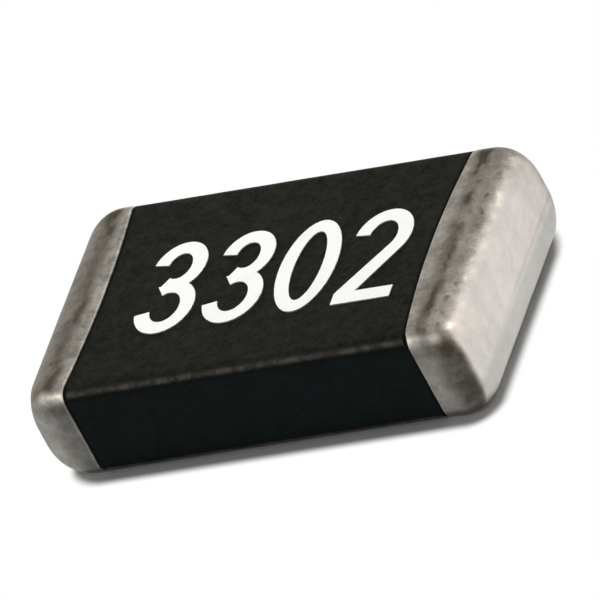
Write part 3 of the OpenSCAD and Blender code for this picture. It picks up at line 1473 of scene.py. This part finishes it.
@dataclass
class InnerLayers:
    """The core and layers under the coat and the platings, which keep their solids."""

    alumina: FiredLayer = FiredLayer((0.90, 0.89, 0.86), (0.80, 0.79, 0.75), 45.0, rough=0.6)
    film: FiredLayer = FiredLayer((0.060, 0.054, 0.052), (0.026, 0.024, 0.025), 60.0, rough=0.45)
    glass: FiredLayer = FiredLayer((0.11, 0.21, 0.14), (0.07, 0.14, 0.09), 20.0, rough=0.2, bump_depth=0.001)
    silver_print: FiredLayer = FiredLayer((0.80, 0.79, 0.76), (0.62, 0.60, 0.56), 50.0, 1.0, 0.4)
    silver_paste: FiredLayer = FiredLayer((0.70, 0.68, 0.64), (0.50, 0.48, 0.45), 40.0, 1.0, 0.5)
    nickel: FiredLayer = FiredLayer((0.54, 0.52, 0.46), (0.42, 0.40, 0.36), 70.0, 1.0, 0.35)

    def dress(self, nodes: Mapping[str, bpy.types.Object]) -> None:
        """Gives every inner node its finish.

        Args:
            nodes: The frame's nodes by name.
        """
        finishes = {"ceramic_substrate": self.alumina, "resistive_film": self.film, "glass_coat": self.glass}
        for side in Side:
            finishes[f"{side.word}_top_electrode"] = self.silver_print
            finishes[f"{side.word}_bottom_electrode"] = self.silver_print
            finishes[f"{side.word}_end_electrode"] = self.silver_paste
            finishes[f"{side.word}_nickel_barrier"] = self.nickel
        for name, finish in finishes.items():
            data = nodes[name].data
            data.materials.clear()
            data.materials.append(finish.material(f"{name}_finish"))
            log.info("%s: dressed", name)


@dataclass(frozen=True)
class Softbox:
    """A square studio lamp that looks at the chip.

    Where it is mirrored, polished surfaces show it. Where it is spread, it lights dull ones.
    """

    name: str
    towards: Triple
    distance: float
    size: float
    radiance: float
    mirrored: bool = True
    spread: bool = True

    def build(self) -> None:
        """Hangs the lamp."""
        lamp = bpy.data.lights.new(self.name, "AREA")
        lamp.shape = "SQUARE"
        lamp.size = self.size * MILLIMETRE
        lamp.energy = self.radiance * math.pi * lamp.size**2
        direction = Vector(self.towards).normalized()
        holder = bpy.data.objects.new(self.name, lamp)
        holder.location = direction * (self.distance * MILLIMETRE)
        holder.rotation_mode = "QUATERNION"
        holder.rotation_quaternion = direction.to_track_quat("Z", "Y")
        holder.visible_camera = False
        holder.visible_glossy = self.mirrored
        holder.visible_diffuse = self.spread
        bpy.context.scene.collection.objects.link(holder)


@dataclass
class Studio:
    """Pale floor, soft lamps, a white surround and the camera."""

    sizes: ChipSizes
    azimuth: float = 33.03
    elevation: float = 33.62
    roll: float = -28.94
    lens: float = 1400.0
    sensor: float = 36.0
    frame_pixels: float = 600.0
    pixels_per_mm: float = 308.94
    chip_pixel: Pair = (293.5, 309.9)
    clip: Pair = (0.01, 10.0)
    floor_size: float = 90.0
    floor_cells: int = 8
    floor_colour: Colour = (0.93, 0.93, 0.93)
    white: Colour = (1.0, 1.0, 1.0)
    shadow_inset: Pair = (0.053, 0.028)
    shadow_left_round: float = 0.11
    shadow_right_round: float = 0.06
    shadow_back_round: float = 0.17
    shadow_left_to_right: Span = (-0.2, 0.2)
    shadow_front_to_back: Span = (-0.1, 0.3)
    shadow_edge: Span = (0.034, 0.080)
    horizon: float = 1.0
    ceiling: float = 0.8
    ceiling_rise: Span = (0.30, 0.58)
    ambient: float = 0.12
    lamps: tuple[Softbox, ...] = (
        Softbox("key_softbox", (-0.27, 0.45, 0.85), 16.0, 7.0, 16.4, mirrored=False),
        Softbox("end_softbox", (0.20, 0.71, 0.67), 15.0, 3.0, 2.2),
        Softbox("front_softbox", (-0.52, -0.57, 0.62), 15.0, 4.0, 3.4),
        Softbox("corner_softbox", (0.47, 0.20, 0.86), 15.0, 5.5, 3.0, spread=False),
    )

    def build(self) -> None:
        """Sets up everything round the chip."""
        scene = bpy.context.scene
        scene.view_settings.view_transform = "Standard"
        self._floor()
        self._surround(scene)
        for lamp in self.lamps:
            lamp.build()
        self._camera(scene)
        log.info("studio: floor, surround, lamps and camera")

    def _floor(self) -> None:
        """Lays the floor, which is plain white a little way off and keeps the shadow close to the chip."""
        mesh = bmesh.new()
        cells = self.floor_cells
        bmesh.ops.create_grid(mesh, x_segments=cells, y_segments=cells, size=self.floor_size / 2 * MILLIMETRE)
        bmesh.ops.translate(mesh, vec=(0, 0, -self.sizes.thickness / 2 * MILLIMETRE), verts=mesh.verts)
        data = bpy.data.meshes.new("floor")
        mesh.to_mesh(data)
        mesh.free()
        tree, material = ShaderTree.of_material("pale_floor")
        lift = self._seen(tree) * self._outside_shadow(tree)
        matte = tree.node("ShaderNodeBsdfDiffuse", inputs={"Color": self.floor_colour})
        plain = tree.node("ShaderNodeEmission", inputs={"Color": self.white, "Strength": 1.0})
        lifted = tree.node("ShaderNodeMixShader", inputs={0: lift, 1: matte, 2: plain})
        tree.node_output("ShaderNodeOutputMaterial", lifted)
        data.materials.append(material)
        floor = bpy.data.objects.new("floor", data)
        bpy.context.scene.collection.objects.link(floor)

    def _outside_shadow(self, tree: ShaderTree) -> Value:
        """Tells the plain floor from the part that shows the chip's shadow, a rectangle with round corners.

        Args:
            tree: The floor's tree.

        Returns:
            1 on the plain floor, 0 close to the chip.
        """
        along, across, _ = tree.axes(tree.place())
        inset_along, inset_across = self.shadow_inset
        change = self.shadow_right_round - self.shadow_left_round
        corner = self.shadow_left_round + change * along.rising(*self.shadow_left_to_right)
        corner = corner + (self.shadow_back_round - corner) * across.rising(*self.shadow_front_to_back)
        beside = (abs(along) - (self.sizes.length / 2 - inset_along) + corner).most(0.0)
        before = (abs(across) - (self.sizes.width / 2 - inset_across) + corner).most(0.0)
        away = (beside * beside + before * before) ** 0.5 - corner
        return away.rising(*self.shadow_edge)

    @staticmethod
    def _seen(tree: ShaderTree) -> Value:
        """Tells the rays that look at the white surround from those that light surfaces.

        Args:
            tree: The floor's or the world's tree.

        Returns:
            1 for rays from the camera, and for those that metal or glass sends on.
        """
        camera = tree.node("ShaderNodeLightPath", output="Is Camera Ray")
        path = camera.socket.node.outputs
        glossy = Value(tree, path["Is Glossy Ray"])
        through = Value(tree, path["Is Transmission Ray"])
        return camera.most(glossy).most(through)

    def _surround(self, scene: bpy.types.Scene) -> None:
        """Makes the world: white at the horizon, dimmer overhead, plain to the lit surfaces.

        Args:
            scene: The scene that gets it.
        """
        world = bpy.data.worlds.new("surround")
        world.use_nodes = True
        scene.world = world
        tree = ShaderTree(world.node_tree)
        direction = tree.node("ShaderNodeTexCoord", output="Generated")
        _, _, height = tree.axes(direction)
        seen = self._seen(tree)
        shown = self.horizon - (self.horizon - self.ceiling) * height.rising(*self.ceiling_rise)
        strength = seen * shown + (1 - seen) * self.ambient
        sky = tree.node("ShaderNodeBackground", inputs={"Color": self.white, "Strength": strength})
        tree.node_output("ShaderNodeOutputWorld", sky)

    def _camera(self, scene: bpy.types.Scene) -> None:
        """Looks at the chip from the photograph's angle.

        Args:
            scene: The scene that gets the camera.
        """
        azimuth, elevation = math.radians(self.azimuth), math.radians(self.elevation)
        back = Vector((
            math.sin(azimuth) * math.cos(elevation),
            -math.cos(azimuth) * math.cos(elevation),
            math.sin(elevation),
        ))
        turn = back.to_track_quat("Z", "Y") @ Quaternion((0, 0, 1), math.radians(self.roll))
        right, up = turn @ Vector((1, 0, 0)), turn @ Vector((0, 1, 0))
        centre = self.frame_pixels / 2
        aim = right * (centre - self.chip_pixel[0]) + up * (self.chip_pixel[1] - centre)
        view_width = self.frame_pixels / self.pixels_per_mm
        distance = view_width * self.lens / self.sensor
        data = bpy.data.cameras.new("camera")
        data.lens = self.lens
        data.sensor_width = self.sensor
        data.clip_start, data.clip_end = (share * distance * MILLIMETRE for share in self.clip)
        camera = bpy.data.objects.new("camera", data)
        place = aim / self.pixels_per_mm + back * distance
        camera.matrix_world = Matrix.Translation(place * MILLIMETRE) @ turn.to_matrix().to_4x4()
        scene.collection.objects.link(camera)
        scene.camera = camera


def worn_platings(sizes: ChipSizes) -> dict[Side, TinPlating]:
    """Chooses the terminals' finishes, which have worn differently and carry different painted highlights.

    Args:
        sizes: The chip's sizes.

    Returns:
        The plating of each end.
    """
    left = TinPlating(
        sizes,
        Side.LEFT,
        PaleEnd(start=0.785),
        StainRing(start=0.69, end=0.745),
        FlankDirt(smear=0.15),
        BurnishAndPaintedHighlights(glint=0.0, edge_stain=0.15, edge_place=0.018),
        haze_colour=(0.205, 0.184, 0.153),
        flank_and_shade_colour=(0.125, 0.122, 0.111),
        flank_end_and_shade_colour=(0.35, 0.34, 0.31),
    )
    right = TinPlating(
        sizes,
        Side.RIGHT,
        PaleEnd(start=0.742),
        StainRing(start=0.66, end=0.75),
        FlankDirt(smear=1.0),
        BurnishAndPaintedHighlights(glint=1.0, edge_stain=0.8, edge_place=0.012),
        haze_colour=(0.395, 0.355, 0.307),
        flank_and_shade_colour=(0.215, 0.207, 0.187),
        flank_end_and_shade_colour=(0.19, 0.185, 0.165),
    )
    return {Side.LEFT: left, Side.RIGHT: right}


def main() -> None:
    """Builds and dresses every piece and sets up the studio."""
    logging.basicConfig(level=logging.INFO, format="%(message)s")
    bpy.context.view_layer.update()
    sizes = ChipSizes.from_frame()
    for side, plating in worn_platings(sizes).items():
        Terminal(sizes, side).build(plating)
    body = CoatedBody(sizes)
    body.build(BlackResin(sizes, body.edge_radius))
    Marking(sizes).build(WhiteInk())
    InnerLayers().dress(frame["nodes"])
    Studio(sizes).build()


if __name__ == "__main__":
    main()
